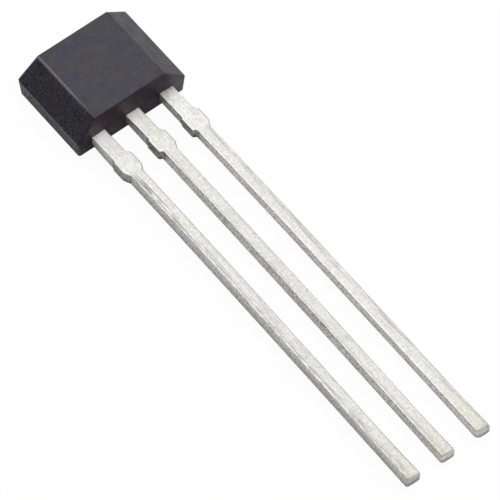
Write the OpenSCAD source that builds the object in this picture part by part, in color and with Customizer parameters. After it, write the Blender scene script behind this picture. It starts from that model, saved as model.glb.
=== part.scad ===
// Three-lead flat moulded Hall effect sensor, in millimetres.
// The part lies on its back face: Z points out of the sensing face, and the leads run towards -Y.
// The origin is the middle of the back face.

/* [Case] */
// Width of the case across the leads, at the parting line
case_w = 4.05; // [3.9:0.01:4.3]
// Height of the case along the leads, at the parting line
case_h = 3.05; // [2.9:0.01:3.2]
// Thickness of the case, from the back face to the sensing face
case_t = 1.45; // [1.4:0.01:1.6]
// Width of the flat sensing face between the two side chamfers
face_w = 2.59; // [2.51:0.01:2.72]
// Height of the parting line above the back face
parting_z = 0.72; // [0.65:0.01:0.8]
// Draft of the two ends in the front half of the mould, in degrees
front_draft = 7; // [3:0.5:9]
// Draft of the ends and sides in the back half of the mould, in degrees
back_draft = 4; // [1:0.5:7]
// Radius of the long edges beside the two flat faces
side_edge_r = 0.05; // [0.02:0.01:0.08]
// Radius of the edges at the ends of the two flat faces
end_edge_r = 0.09; // [0.03:0.01:0.12]
// Radius of the case's corners at the parting line, seen from the front
corner_r = 0.1; // [0.03:0.01:0.15]
// Diameter of the round mark that the ejector pin leaves in the back face
ejector_d = 1; // [0.6:0.05:1.2]
// Depth of the ejector pin's mark
ejector_depth = 0.04; // [0.02:0.01:0.08]
// Distance from the middle of the back face to the ejector pin's mark
ejector_y = 0.7; // [0.5:0.05:0.75]
// Width of the scar where the resin's gate was broken off the far end
gate_w = 0.8; // [0.5:0.05:1]
// Height of the gate's scar, down from the back of the lead frame
gate_h = 0.16; // [0.1:0.01:0.2]
// How far the gate's scar stands out of the far end
gate_stub = 0.03; // [0.01:0.01:0.05]

/* [Leads] */
// Distance between the middles of neighbouring leads
lead_pitch = 1.27; // [1.2:0.01:1.3]
// Thickness of the lead frame's sheet
lead_t = 0.42; // [0.35:0.01:0.44]
// Width of a lead's long shank
lead_w = 0.42; // [0.35:0.01:0.44]
// Length of a lead, from the end of the case to the tip
lead_len = 15; // [12:0.01:16]
// Width of a lead where it leaves the case
neck_w = 0.5; // [0.44:0.01:0.55]
// Length of the wide neck, from the end of the case to the dam bar
neck_len = 1.03; // [0.9:0.01:1.1]
// How far off centre, towards +X, the shanks and what is left of the dam bar are cut
trim_offset = 0.04; // [0:0.01:0.06]
// How far each tip has been bent sideways, along X, from lead 1 to lead 3
tip_lean = [-0.05, -0.05, 0]; // [-0.1:0.01:0.1]
// Radius of each tip's corner on the -X side, from lead 1 to lead 3
tip_r = [0.08, 0.09, 0.16]; // [0.03:0.01:0.18]
// Radius of the tips' corner on the +X side
tip_burr_r = 0.04; // [0.02:0.01:0.1]
// Radius that the dipped tin gives the end of a tip, seen from the side
tip_round = 0.08; // [0.04:0.01:0.15]

/* [Dam bar] */
// Width of what is left of the dam bar across a lead
dam_w = 0.66; // [0.58:0.01:0.7]
// Length of the slope from the neck to the dam bar
dam_flare = 0.15; // [0.1:0.01:0.2]
// Length of the dam bar's straight cut edge
dam_len = 0.42; // [0.35:0.01:0.5]
// Length of the slope from the dam bar down to the shank
dam_taper = 0.23; // [0.15:0.01:0.3]
// How much longer the straight cut edge is on the -X side of leads 2 and 3
dam_overrun = 0.06; // [0.02:0.01:0.1]
// Length of the short step that ends it there
dam_step = 0.03; // [0.02:0.01:0.06]
// Radius that softens the dam bar's corners, as far as there is room
dam_r = 0.12; // [0.05:0.01:0.15]

/* [Lead frame inside the case] */
// Slot punched between the die paddle and each bonding post
slot_w = 0.3; // [0.25:0.01:0.35]
// Resin between a bonding post and the side of the case
post_wall = 0.32; // [0.25:0.01:0.4]
// Depth inside the case at which a side lead widens to its post
post_start = 0.4; // [0.3:0.01:0.5]
// Depth inside the case at which a post ends
post_end = 2; // [1.7:0.01:2.3]
// Radius of the half-round notch that locks a post in the resin
post_notch_r = 0.13; // [0.08:0.01:0.16]
// Length of the die paddle, along the leads
paddle_len = 1.55; // [1.45:0.01:1.65]
// Distance from the middle of the case to the middle of the paddle, towards the far end
paddle_mid = 0.05; // [0:0.01:0.1]
// Radius of the half-round notches that lock the paddle in the resin
paddle_notch_r = 0.09; // [0.05:0.01:0.11]
// Radius of the punched corners of the posts and the paddle
punch_r = 0.06; // [0.03:0.01:0.08]
// Width of the tie bar that held the paddle in the strip
tie_w = 0.34; // [0.25:0.01:0.4]
// How far the cut end of the tie bar stands out of the case
tie_stub = 0.03; // [0.02:0.01:0.06]

/* [Sensor die] */
// Width of the die
die_w = 1; // [0.8:0.01:1.1]
// Height of the die, along the leads
die_h = 0.9; // [0.7:0.01:1]
// Thickness of the die
die_t = 0.25; // [0.2:0.01:0.3]
// Thickness of the die attach adhesive
attach_t = 0.03; // [0.02:0.005:0.04]
// How far the adhesive is squeezed out past the die
attach_margin = 0.05; // [0.03:0.01:0.07]

/* [Bond wires] */
// Diameter of the bond wire
wire_d = 0.032; // [0.025:0.001:0.05]
// Diameter of the ball bond on the die
ball_d = 0.08; // [0.06:0.005:0.09]
// Height of the ball bond
ball_h = 0.02; // [0.015:0.005:0.03]
// Diameter of the stitch bond on the lead frame
stitch_d = 0.06; // [0.05:0.005:0.07]
// Distance from a ball bond to the edge of the die
bond_inset = 0.12; // [0.08:0.01:0.15]
// Distance from a stitch bond to the inner edge of its post
stitch_inset = 0.15; // [0.1:0.01:0.18]
// How steeply a wire leaves its bonds: the length of the handles of its curve
loop_pull = 0.35; // [0.25:0.01:0.4]

/* [Hidden] */

ARC_STEPS = 5;
WIRE_SIDES = 8;
WIRE_STEPS = 14;
SUPPLY = -1;
GROUND = 0;
OUTPUT = 1;
resin = "#3a3840";
tin = "#d9d9d4";
silicon = "#5d6470";
adhesive = "#c9c2b4";
gold = "#e0b34a";

// Ends of the case along Y: the leads leave it at lead_end
lead_end = -case_h / 2;
far_end = case_h / 2;

// The sheet of the lead frame lies under the parting plane, which closes on its front face
sheet_top = parting_z;
sheet_bottom = parting_z - lead_t;

// The dam bar and the shank, measured from the end of the case
dam_start = neck_len + dam_flare;
dam_end = dam_start + dam_len;

// Plan of the lead frame inside the case
post_inner = lead_pitch - neck_w / 2;
post_outer = case_w / 2 - post_wall;
paddle_w = 2 * (post_inner - slot_w);
paddle_y0 = paddle_mid - paddle_len / 2;
paddle_y1 = paddle_mid + paddle_len / 2;
die_seat = sheet_top + attach_t;
die_top = die_seat + die_t;

// ---- Outlines with rounded corners

function unit(v) = v / norm(v);
function angle_of(v) = atan2(v[1], v[0]);

// An arc of radius r in the corner b between a and c, made smaller where a side is too short for it
function corner_arc(a, b, c, r) =
    let (
        to_a = unit(a - b),
        to_c = unit(c - b),
        half = acos(to_a * to_c) / 2,
        room = 0.49 * min(norm(a - b), norm(c - b)),
        radius = min(r, room * tan(half)),
        centre = b + unit(to_a + to_c) * radius / sin(half),
        from = angle_of(b + to_a * radius / tan(half) - centre),
        turn = angle_of(b + to_c * radius / tan(half) - centre) - from,
        sweep = turn > 180 ? turn - 360 : turn < -180 ? turn + 360 : turn
    )
    [for (i = [0 : ARC_STEPS]) let (t = from + sweep * i / ARC_STEPS) centre + radius * [cos(t), sin(t)]];

// corners is a list of [x, y, r]: an outline whose corner at x, y has the radius r, or is sharp at 0
function rounded(corners) =
    let (n = len(corners), at = [for (k = corners) [k[0], k[1]]])
    [for (i = [0 : n - 1])
        each corners[i][2] > 0
            ? corner_arc(at[(i + n - 1) % n], at[i], at[(i + 1) % n], corners[i][2])
            : [at[i]]];

// ---- Moulded case

// Outline of the mould from the side: half is half its size at the parting line, the back half loses
// its draft, and the front half loses front_inset to its chamfer or its draft
function mould_section(half, front_inset, edge_r) = rounded([
    [half - back_inset, 0, edge_r],
    [half, parting_z, 0],
    [half - front_inset, case_t, edge_r],
    [-half + front_inset, case_t, edge_r],
    [-half, parting_z, 0],
    [-half + back_inset, 0, edge_r]]);

back_inset = parting_z * tan(back_draft);
end_inset = (case_t - parting_z) * tan(front_draft);
chamfer = (case_w - face_w) / 2;

// Seen along the leads: two chamfers from the sensing face down to the parting line
module across_section() {
    rotate([90, 0, 0])
        linear_extrude(height = 2 * case_h, center = true)
            polygon(mould_section(case_w / 2, chamfer, side_edge_r));
}

// Seen from the side: both ends drafted from the parting line
module along_section() {
    rotate([90, 0, 90])
        linear_extrude(height = 2 * case_w, center = true)
            polygon(mould_section(case_h / 2, end_inset, end_edge_r));
}

// Seen from the front: the rectangle of the parting line with its corners rounded
module plan_section() {
    linear_extrude(height = case_t)
        polygon(rounded([
            [case_w / 2, case_h / 2, corner_r],
            [-case_w / 2, case_h / 2, corner_r],
            [-case_w / 2, -case_h / 2, corner_r],
            [case_w / 2, -case_h / 2, corner_r]]));
}

module mould_form() {
    intersection() {
        across_section();
        along_section();
        plan_section();
    }
}

module ejector_mark() {
    translate([0, ejector_y, -ejector_depth])
        cylinder(d = ejector_d, h = 2 * ejector_depth, $fn = 48);
}

// What is left of the gate, under the tie bar at the far end
module gate_scar() {
    translate([-gate_w / 2, 0, sheet_bottom - gate_h])
        cube([gate_w, far_end + gate_stub, gate_h]);
}

// The resin has set round everything that it encloses
module moulded_case() {
    color(resin)
        difference() {
            union() {
                mould_form();
                gate_scar();
            }
            ejector_mark();
            lead() side_lead_plan(SUPPLY);
            lead() ground_lead_plan();
            lead() side_lead_plan(OUTPUT);
            attach_body();
            die_body();
            bond_wire(supply_bond);
            bond_wire(ground_bond);
            bond_wire(output_bond);
        }
}

// ---- Lead frame

// The side of a lead: the sheet's thickness, rounded at the tip, from past the tip's end
// to well inside the case
module lead_side() {
    tip_end = lead_end - lead_len;
    inside = far_end + case_h;
    rotate([90, 0, 90])
        linear_extrude(height = 2 * case_w, center = true)
            polygon(rounded([
                [inside, sheet_bottom, 0],
                [inside, sheet_top, 0],
                [tip_end, sheet_top, tip_round],
                [tip_end, sheet_bottom, tip_round]]));
}

// A lead cut from the sheet to the outline of its children, with its tip dipped in tin
module lead() {
    intersection() {
        translate([0, 0, sheet_bottom])
            linear_extrude(height = lead_t)
                children();
        lead_side();
    }
}

// Outside outline of a lead, from the +X side of its root round the tip to the -X side.
// which is SUPPLY, GROUND or OUTPUT. The dam bar ends in a slope on both sides of the supply lead,
// and on the others in a slope on the +X side and a short step on the -X side.
function lead_outside(which) =
    let (
        root = which * lead_pitch,
        shank = root + trim_offset,
        tip = shank + tip_lean[which + 1],
        tip_y = lead_end - lead_len,
        sloped = which == SUPPLY,
        cut_end = dam_end + (sloped ? 0 : dam_overrun),
        shank_start = cut_end + (sloped ? dam_taper : dam_step)
    )
    [
        [root + neck_w / 2, lead_end - neck_len, dam_r],
        [shank + dam_w / 2, lead_end - dam_start, dam_r],
        [shank + dam_w / 2, lead_end - dam_end, dam_r],
        [shank + lead_w / 2, lead_end - dam_end - dam_taper, dam_r],
        [tip + lead_w / 2, tip_y, tip_burr_r],
        [tip - lead_w / 2, tip_y, tip_r[which + 1]],
        [shank - lead_w / 2, lead_end - shank_start, dam_r],
        [shank - dam_w / 2, lead_end - cut_end, dam_r],
        [shank - dam_w / 2, lead_end - dam_start, dam_r],
        [root - neck_w / 2, lead_end - neck_len, dam_r]
    ];

// The inside of a side lead, from the -X side of its root round to the +X side: a bonding post that
// widens towards the side of the case
function post_inside(side) =
    let (
        inner = side * post_inner,
        outer = side * post_outer,
        heel = side * (lead_pitch + neck_w / 2),
        start = lead_end + post_start,
        end = lead_end + post_end,
        path = [
            [inner, end, punch_r],
            [outer, end, punch_r],
            [outer, start, punch_r],
            [heel, start, punch_r]]
    )
    side > 0 ? path : [for (i = [3 : -1 : 0]) path[i]];

// A side lead, cut from the sheet in one piece with its bonding post
module side_lead_plan(side) {
    difference() {
        polygon(rounded(concat(lead_outside(side), post_inside(side))));
        translate([side * post_outer, lead_end + (post_start + post_end) / 2])
            circle(r = post_notch_r, $fn = 24);
    }
}

// The inside of the middle lead: the die paddle, and the tie bar that runs out of the far end
paddle_inside = [
    [-neck_w / 2, paddle_y0, punch_r],
    [-paddle_w / 2, paddle_y0, punch_r],
    [-paddle_w / 2, paddle_y1, punch_r],
    [-tie_w / 2, paddle_y1, punch_r],
    [-tie_w / 2, far_end + tie_stub, 0],
    [tie_w / 2, far_end + tie_stub, 0],
    [tie_w / 2, paddle_y1, punch_r],
    [paddle_w / 2, paddle_y1, punch_r],
    [paddle_w / 2, paddle_y0, punch_r],
    [neck_w / 2, paddle_y0, punch_r]
];

module ground_lead_plan() {
    difference() {
        polygon(rounded(concat(lead_outside(GROUND), paddle_inside)));
        for (side = [-1, 1])
            translate([side * paddle_w / 2, paddle_mid])
                circle(r = paddle_notch_r, $fn = 24);
    }
}

module supply_lead() {
    color(tin)
        lead() side_lead_plan(SUPPLY);
}

module ground_lead() {
    color(tin)
        lead() ground_lead_plan();
}

module output_lead() {
    color(tin)
        lead() side_lead_plan(OUTPUT);
}

// ---- Sensor die on its paddle

module attach_body() {
    attach_w = die_w + 2 * attach_margin;
    attach_h = die_h + 2 * attach_margin;
    translate([-attach_w / 2, paddle_mid - attach_h / 2, sheet_top])
        cube([attach_w, attach_h, attach_t]);
}

module die_body() {
    translate([-die_w / 2, paddle_mid - die_h / 2, die_seat])
        cube([die_w, die_h, die_t]);
}

module die_attach() {
    color(adhesive)
        attach_body();
}

module sensor_die() {
    color(silicon)
        die_body();
}

// ---- Bond wires

// Each bond is [ball, stitch]: where the wire leaves the die, and where it lands on the lead frame
bond_x = die_w / 2 - bond_inset;
bond_y = paddle_mid - die_h / 2 + bond_inset;
// The ground wire lands in the middle of the strip of paddle that the adhesive leaves bare
ground_y = (paddle_y0 + paddle_mid - die_h / 2 - attach_margin) / 2;
supply_bond = [[-bond_x, paddle_mid], [-post_inner - stitch_inset, paddle_mid]];
output_bond = [[bond_x, paddle_mid], [post_inner + stitch_inset, paddle_mid]];
ground_bond = [[0, bond_y], [0, ground_y]];

// A curve that leaves the ball straight up and comes down straight onto the stitch, as [distance, height]
function loop_point(span, t) =
    let (
        low = die_top + ball_h,
        high = low + loop_pull,
        over = sheet_top + loop_pull
    )
    pow(1 - t, 3) * [0, low]
        + 3 * pow(1 - t, 2) * t * [0, high]
        + 3 * (1 - t) * pow(t, 2) * [span, over]
        + pow(t, 3) * [span, sheet_top];

function loop_slope(span, t) =
    unit(loop_point(span, t + 0.001) - loop_point(span, t - 0.001));

// Rings of the wire, each [distance, height, direction, radius]
function wire_rings(span) = concat(
    [
        [[0, die_top], [0, 1], ball_d / 2],
        [[0, die_top + ball_h], [0, 1], ball_d / 2]
    ],
    [for (i = [1 : WIRE_STEPS - 1]) let (t = i / WIRE_STEPS)
        [loop_point(span, t), loop_slope(span, t), wire_d / 2]],
    [[[span, sheet_top], [0, -1], stitch_d / 2]]);

// The wire swept along its loop, which stands upright between the two bonds
module bond_wire(bond) {
    run = bond[1] - bond[0];
    span = norm(run);
    rings = wire_rings(span);
    last = len(rings) - 1;
    points = [for (ring = rings, k = [0 : WIRE_SIDES - 1])
        let (a = 360 * k / WIRE_SIDES, across = ring[1])
        [ring[0][0] + ring[2] * cos(a) * across[1],
         ring[2] * sin(a),
         ring[0][1] - ring[2] * cos(a) * across[0]]];
    walls = [for (i = [0 : last - 1], k = [0 : WIRE_SIDES - 1])
        let (a = i * WIRE_SIDES, next = (k + 1) % WIRE_SIDES)
        [a + k, a + WIRE_SIDES + k, a + WIRE_SIDES + next, a + next]];
    caps = [
        [for (k = [0 : WIRE_SIDES - 1]) k],
        [for (k = [WIRE_SIDES - 1 : -1 : 0]) last * WIRE_SIDES + k]];
    translate([bond[0][0], bond[0][1], 0])
        rotate([0, 0, angle_of(run)])
            polyhedron(points = points, faces = concat(walls, caps));
}

module supply_bond_wire() {
    color(gold)
        bond_wire(supply_bond);
}

module ground_bond_wire() {
    color(gold)
        bond_wire(ground_bond);
}

module output_bond_wire() {
    color(gold)
        bond_wire(output_bond);
}

moulded_case();
supply_lead();
ground_lead();
output_lead();
die_attach();
sensor_die();
supply_bond_wire();
ground_bond_wire();
output_bond_wire();
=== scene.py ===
# %% [markdown]
# # A flat moulded Hall effect sensor
# The part is about 18 mm long: a black epoxy case of 4 by 3 mm with three tinned leads. It lies on its
# back face with the sensing face up. The CAD model is loaded as a fixed frame, and every piece made
# here takes its place and size from it. The steps are: the frame, the camera, the studio, the
# finishes, the case, the leads, and the small pieces that are sealed in the case.

# %% Load the frame
import math

import bmesh
import bpy
import numpy
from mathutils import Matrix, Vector


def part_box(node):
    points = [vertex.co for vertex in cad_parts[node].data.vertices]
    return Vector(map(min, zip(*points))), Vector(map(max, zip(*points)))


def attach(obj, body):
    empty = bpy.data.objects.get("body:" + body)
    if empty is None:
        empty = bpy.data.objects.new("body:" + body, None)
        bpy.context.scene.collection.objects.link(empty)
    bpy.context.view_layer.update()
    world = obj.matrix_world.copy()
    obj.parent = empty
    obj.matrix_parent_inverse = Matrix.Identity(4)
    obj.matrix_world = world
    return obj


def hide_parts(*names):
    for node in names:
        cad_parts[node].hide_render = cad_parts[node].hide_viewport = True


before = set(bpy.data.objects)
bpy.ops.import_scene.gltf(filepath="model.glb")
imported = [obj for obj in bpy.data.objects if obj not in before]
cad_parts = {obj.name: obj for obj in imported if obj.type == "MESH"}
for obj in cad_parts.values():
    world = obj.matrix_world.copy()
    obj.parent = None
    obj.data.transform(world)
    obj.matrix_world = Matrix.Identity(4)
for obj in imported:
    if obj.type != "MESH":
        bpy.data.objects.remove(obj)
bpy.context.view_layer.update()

MM = 0.001
case_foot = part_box("moulded_case")[0].y / MM
tip_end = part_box("supply_lead")[0].y / MM
sheet_z = [corner.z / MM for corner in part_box("supply_lead")]  # the back and the front of the sheet
print("nodes:", ", ".join(sorted(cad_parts)))

# %% [markdown]
# ## The camera
# A part this small is shot from well away with a long lens, so that its parallel edges stay almost
# parallel. The camera is set by where it aims, by the two angles of its line of sight and by its
# distance. Its angles are those of a product shot: from the left, in front and above.

# %% Camera
SENSOR_WIDTH = 36.0
LENS = 427.1
CLIP_START = 10 * MM
CLIP_END = 2000 * MM
CAMERA_AZIMUTH = -38.0
CAMERA_ELEVATION = 57.98
CAMERA_DISTANCE = 175.02 * MM
AIM = Vector((-0.157, -7.431, 0.5)) * MM


def direction(azimuth, elevation):
    """The unit vector that points from the part towards a camera or a lamp at these angles."""
    a, e = math.radians(azimuth), math.radians(elevation)
    return Vector((math.sin(a) * math.cos(e), -math.cos(a) * math.cos(e), math.sin(e)))


def look_from(obj, target, towards, distance):
    """Places a camera or a lamp so that it looks at target from that side and distance."""
    obj.rotation_mode = "QUATERNION"
    obj.location = target + towards * distance
    obj.rotation_quaternion = (-towards).to_track_quat("-Z", "Y")


camera_data = bpy.data.cameras.new("product_camera")
camera_data.sensor_width = SENSOR_WIDTH
camera_data.lens = LENS
camera_data.clip_start = CLIP_START
camera_data.clip_end = CLIP_END
camera = bpy.data.objects.new("product_camera", camera_data)
bpy.context.scene.collection.objects.link(camera)
look_from(camera, AIM, direction(CAMERA_AZIMUTH, CAMERA_ELEVATION), CAMERA_DISTANCE)
bpy.context.scene.camera = camera
print("camera at", [round(value / MM, 2) for value in camera.location], "mm")

# %% [markdown]
# ## Colours and nodes
# Colours are written as they look on a screen, in sRGB hex, and the renderer counts in linear light,
# so one function turns the first into the second. One more function adds a node to a material with
# its settings and its links, which keeps each finish readable as a list of what it is made of. A
# colour ramp comes with two stops, so a third function gives it the stops of a finish.


# %% Helpers for materials
def linear(hex_code):
    """An sRGB hex colour such as #808080 as linear red, green, blue and alpha."""
    shares = [int(hex_code[i : i + 2], 16) / 255 for i in (1, 3, 5)]
    return tuple(s / 12.92 if s <= 0.04045 else ((s + 0.055) / 1.055) ** 2.4 for s in shares) + (1.0,)


def add(tree, kind, settings=None, links=None):
    """Adds a node. A setting goes to the node's property of that name, or else to its input."""
    node = tree.nodes.new(kind)
    for key, value in (settings or {}).items():
        if isinstance(key, str) and hasattr(node, key):
            setattr(node, key, value)
        else:
            node.inputs[key].default_value = value
    for key, source in (links or {}).items():
        tree.links.new(source, node.inputs[key])
    return node


def blank_material(name):
    """A new material with an empty node tree."""
    material = bpy.data.materials.new(name)
    material.use_nodes = True
    material.node_tree.nodes.clear()
    return material


def set_stops(ramp, stops):
    """Gives a colour ramp the stops of a dict, which has a hex colour for each position."""
    elements = ramp.color_ramp.elements
    elements.remove(elements[1])
    first, *others = sorted(stops)
    elements[0].position = first
    elements[0].color = linear(stops[first])
    for position in others:
        elements.new(position).color = linear(stops[position])


print("white is", [round(value, 3) for value in linear("#ffffff")])

# %% [markdown]
# ## The studio
# Everything round the part is white. The camera sees the background as pure white, but the light that
# it sends to the part is dim, so that the lamps alone model the shapes. A Light Path node tells the
# two apart: it knows whether a ray comes straight from the camera.

# %% World
WORLD_LIGHT = 0.13
WHITE = linear("#ffffff")

world = bpy.data.worlds.new("studio_world")
world.use_nodes = True
tree = world.node_tree
tree.nodes.clear()
path = add(tree, "ShaderNodeLightPath")
dim = add(tree, "ShaderNodeBackground", {"Color": WHITE, "Strength": WORLD_LIGHT})
white = add(tree, "ShaderNodeBackground", {"Color": WHITE, "Strength": 1.0})
seen = add(
    tree,
    "ShaderNodeMixShader",
    links={0: path.outputs["Is Camera Ray"], 1: dim.outputs[0], 2: white.outputs[0]},
)
add(tree, "ShaderNodeOutputWorld", links={"Surface": seen.outputs[0]})
bpy.context.scene.world = world
bpy.context.scene.view_settings.view_transform = "Standard"
print("world light", WORLD_LIGHT)

# %% [markdown]
# ### The sheet
# The part lies on a plain white sheet. The sheet is drawn white for the camera by light of its own,
# mixed with a little of the real surface, which keeps the part's soft shadow.

# %% Floor
FLOOR_SIZE = 1600 * MM
FLOOR_GAP = 0.001 * MM  # so that the floor and the part's back never share a plane
SEEN_WHITE = 0.94  # how much of the sheet's look is light of its own
SHEET = linear("#f2f2f2")

bm = bmesh.new()
bmesh.ops.create_grid(bm, x_segments=1, y_segments=1, size=FLOOR_SIZE / 2)
floor_mesh = bpy.data.meshes.new("floor")
bm.to_mesh(floor_mesh)
bm.free()
floor = bpy.data.objects.new("floor", floor_mesh)
bpy.context.scene.collection.objects.link(floor)
floor.location.z = -FLOOR_GAP

sheet = blank_material("white_paper_sheet")
tree = sheet.node_tree
path = add(tree, "ShaderNodeLightPath")
paper = add(tree, "ShaderNodeBsdfDiffuse", {"Color": SHEET})
glow = add(tree, "ShaderNodeEmission", {"Color": WHITE, "Strength": 1.0})
share = add(
    tree,
    "ShaderNodeMath",
    {"operation": "MULTIPLY", 1: SEEN_WHITE},
    {0: path.outputs["Is Camera Ray"]},
)
drawn = add(
    tree,
    "ShaderNodeMixShader",
    links={0: share.outputs[0], 1: paper.outputs[0], 2: glow.outputs[0]},
)
add(tree, "ShaderNodeOutputMaterial", links={"Surface": drawn.outputs[0]})
floor_mesh.materials.append(sheet)
print("floor", FLOOR_SIZE / MM, "mm across")

# %% [markdown]
# ### The lamps
# One very large soft light hangs over the part and reaches far out to the right and to the back. Satin
# surfaces then show broad soft light on top, and what faces left or forward stays dark. Beside it
# hangs a narrow strip light, which draws a fine bright line along every rounded edge between the top
# and the left. A low card of light stands in front on the right. It lifts the end wall of the case and
# the cut ends of the leads a little.


# %% Soft light
def softbox(name, centre, size, radiance, lean=0.0):
    """A flat lamp that faces down, or leans up. radiance is how bright it looks, where 1 is white."""
    lamp = bpy.data.lights.new(name, "AREA")
    lamp.shape = "RECTANGLE"
    lamp.size, lamp.size_y = size
    lamp.energy = radiance * math.pi * size[0] * size[1]
    obj = bpy.data.objects.new(name, lamp)
    obj.location = centre
    obj.rotation_euler.x = math.radians(lean)
    bpy.context.scene.collection.objects.link(obj)
    return obj


HEIGHT = 80 * MM
CARD_HEIGHT = 42 * MM

overhead = softbox(
    "overhead_softbox",
    centre=Vector((90 * MM, 45 * MM, HEIGHT)),
    size=(230 * MM, 310 * MM),
    radiance=1.45,
)
strip = softbox(
    "strip_softbox",
    centre=Vector((-38 * MM, 30 * MM, HEIGHT)),
    size=(34 * MM, 180 * MM),
    radiance=1.4,
)
card = softbox(
    "front_card",
    centre=Vector((60 * MM, -150 * MM, CARD_HEIGHT)),
    size=(240 * MM, 70 * MM),
    radiance=0.5,
    lean=90.0,
)
print("lamps give", [round(lamp.data.energy, 3) for lamp in (overhead, strip, card)], "W")

# %% [markdown]
# ## Black epoxy
# The case is transfer moulded from epoxy that is full of fine silica, which gives a very dark violet
# grey. The colour drifts a little where the resin flowed, between violet, reddish and neutral. The end
# walls are stained brown up to just past the output lead. There they are also darker and mirror less,
# which is painted shade under and between the leads. Noise that is measured in millimetres gives the
# drift, and two colour ramps turn it into the colour of the resin and the tint of its shine. A noise
# texture needs no image and fits the piece from every side, so it is used for every finish here. Where
# a Map Range node reads a noise, its limits say how hard the marks are: the nearer together, the
# harder.

# %% Resin, its stain and painted shade
FLOW = 0.45  # mm, the clouds left by the flow of the resin
DRIFT = 0.02  # how much warmer the resin gets with each mm to the right
STAIN_AND_SHADE = 0.35  # how brown the end walls are, and how much painted shade darkens them
STAIN_AND_SHADE_END = (1.35, 1.65)  # mm in x, where stain and painted shade start to fade and where they end
RESIN = {0.32: "#191526", 0.5: "#1a181e", 0.74: "#1f171d", 0.85: "#22161e"}  # the last is the stain with its painted shade
TINT = {0.32: "#eeebff", 0.5: "#f3f3ff", 0.74: "#f8f0ff", 0.85: "#d4b2d2"}

epoxy = blank_material("moulded_black_epoxy")
tree = epoxy.node_tree
place = add(tree, "ShaderNodeTexCoord")
mm = add(
    tree,
    "ShaderNodeVectorMath",
    {"operation": "SCALE", "Scale": 1 / MM},
    {0: place.outputs["Object"]},
)
where = add(tree, "ShaderNodeSeparateXYZ", {}, {0: mm.outputs[0]})
facing = add(tree, "ShaderNodeSeparateXYZ", {}, {0: place.outputs["Normal"]})
flow = add(
    tree,
    "ShaderNodeTexNoise",
    {"Scale": 1 / FLOW, "Detail": 1.0, "Roughness": 0.5},
    {"Vector": mm.outputs[0]},
)
drift = add(
    tree,
    "ShaderNodeMath",
    {"operation": "MULTIPLY_ADD", 1: DRIFT},
    {0: where.outputs["X"], 2: flow.outputs["Fac"]},
)
# The end walls up to just past the output lead are stained brown, and painted shade makes them darker.
end_wall = add(tree, "ShaderNodeMath", {"operation": "ABSOLUTE"}, {0: facing.outputs["Y"]})
between = add(
    tree,
    "ShaderNodeMapRange",
    {"From Min": STAIN_AND_SHADE_END[0], "From Max": STAIN_AND_SHADE_END[1], "To Min": STAIN_AND_SHADE, "To Max": 0.0},
    {"Value": where.outputs["X"]},
)
warmth_and_shade = add(
    tree,
    "ShaderNodeMath",
    {"operation": "MULTIPLY_ADD"},
    {0: end_wall.outputs[0], 1: between.outputs[0], 2: drift.outputs[0]},
)
body = add(tree, "ShaderNodeValToRGB", {}, {"Fac": warmth_and_shade.outputs[0]})
set_stops(body, RESIN)
tint = add(tree, "ShaderNodeValToRGB", {}, {"Fac": warmth_and_shade.outputs[0]})
set_stops(tint, TINT)
print("the resin goes from", RESIN[0.32], "to", RESIN[0.85])

# %% [markdown]
# ### Flecks and the painted highlight on the edge
# The mould is spark eroded, so flecks of lighter and darker resin show in its grain. They are stronger
# on what faces left, where the mould was rougher. Along the edge between the face and the left chamfer
# a paler line is painted in, a painted highlight that is strongest towards the far end. That line is
# drawn by the distance from the edge, and only near the front of the case, so that it doesn't run on
# down the end walls.

# %% Flecks and the painted highlight on the edge
GRAIN = 0.06  # mm, the spark eroded grain, a little coarser than the real one so that it shows
FLECKS = 0.13  # how strong the flecks are everywhere
FLECKS_LEFT = 0.65  # how much stronger they are on what faces left
FACE_LEFT = -1.335 * MM  # the left chamfer came out a little narrower than the right one
EDGE_HIGHLIGHT = 0.65  # how much of the painted highlight's paler colour is in the middle of the line
HIGHLIGHT_INSET = 0.012  # mm, from the edge to the middle of the painted highlight
HIGHLIGHT_CORE = 0.01  # mm, how far the line is at its palest to both sides
HIGHLIGHT_REACH = 0.06  # mm, how far the line reaches to both sides
HIGHLIGHT_LOW = 1.37  # mm in z, the lowest place that gets the painted highlight
HIGHLIGHT_ALONG = (-1.3, -0.3)  # mm in y, where the painted highlight starts and where it is full

grain = add(
    tree,
    "ShaderNodeTexNoise",
    {"Scale": 1 / GRAIN, "Detail": 3.0, "Roughness": 0.6},
    {"Vector": mm.outputs[0]},
)
fleck = add(
    tree,
    "ShaderNodeMapRange",
    {"From Min": 0.35, "From Max": 0.65, "To Min": -1.0, "To Max": 1.0},
    {"Value": grain.outputs["Fac"]},
)
leftward = add(tree, "ShaderNodeMath", {"operation": "MINIMUM", 1: 0.0}, {0: facing.outputs["X"]})
roughness_of_wall = add(
    tree,
    "ShaderNodeMath",
    {"operation": "MULTIPLY_ADD", 1: -FLECKS_LEFT, 2: FLECKS},
    {0: leftward.outputs[0]},
)
flecks = add(
    tree,
    "ShaderNodeMath",
    {"operation": "MULTIPLY_ADD", 2: 1.0},
    {0: fleck.outputs[0], 1: roughness_of_wall.outputs[0]},
)
speckled = add(
    tree,
    "ShaderNodeVectorMath",
    {"operation": "SCALE"},
    {0: body.outputs[0], "Scale": flecks.outputs[0]},
)
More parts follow.
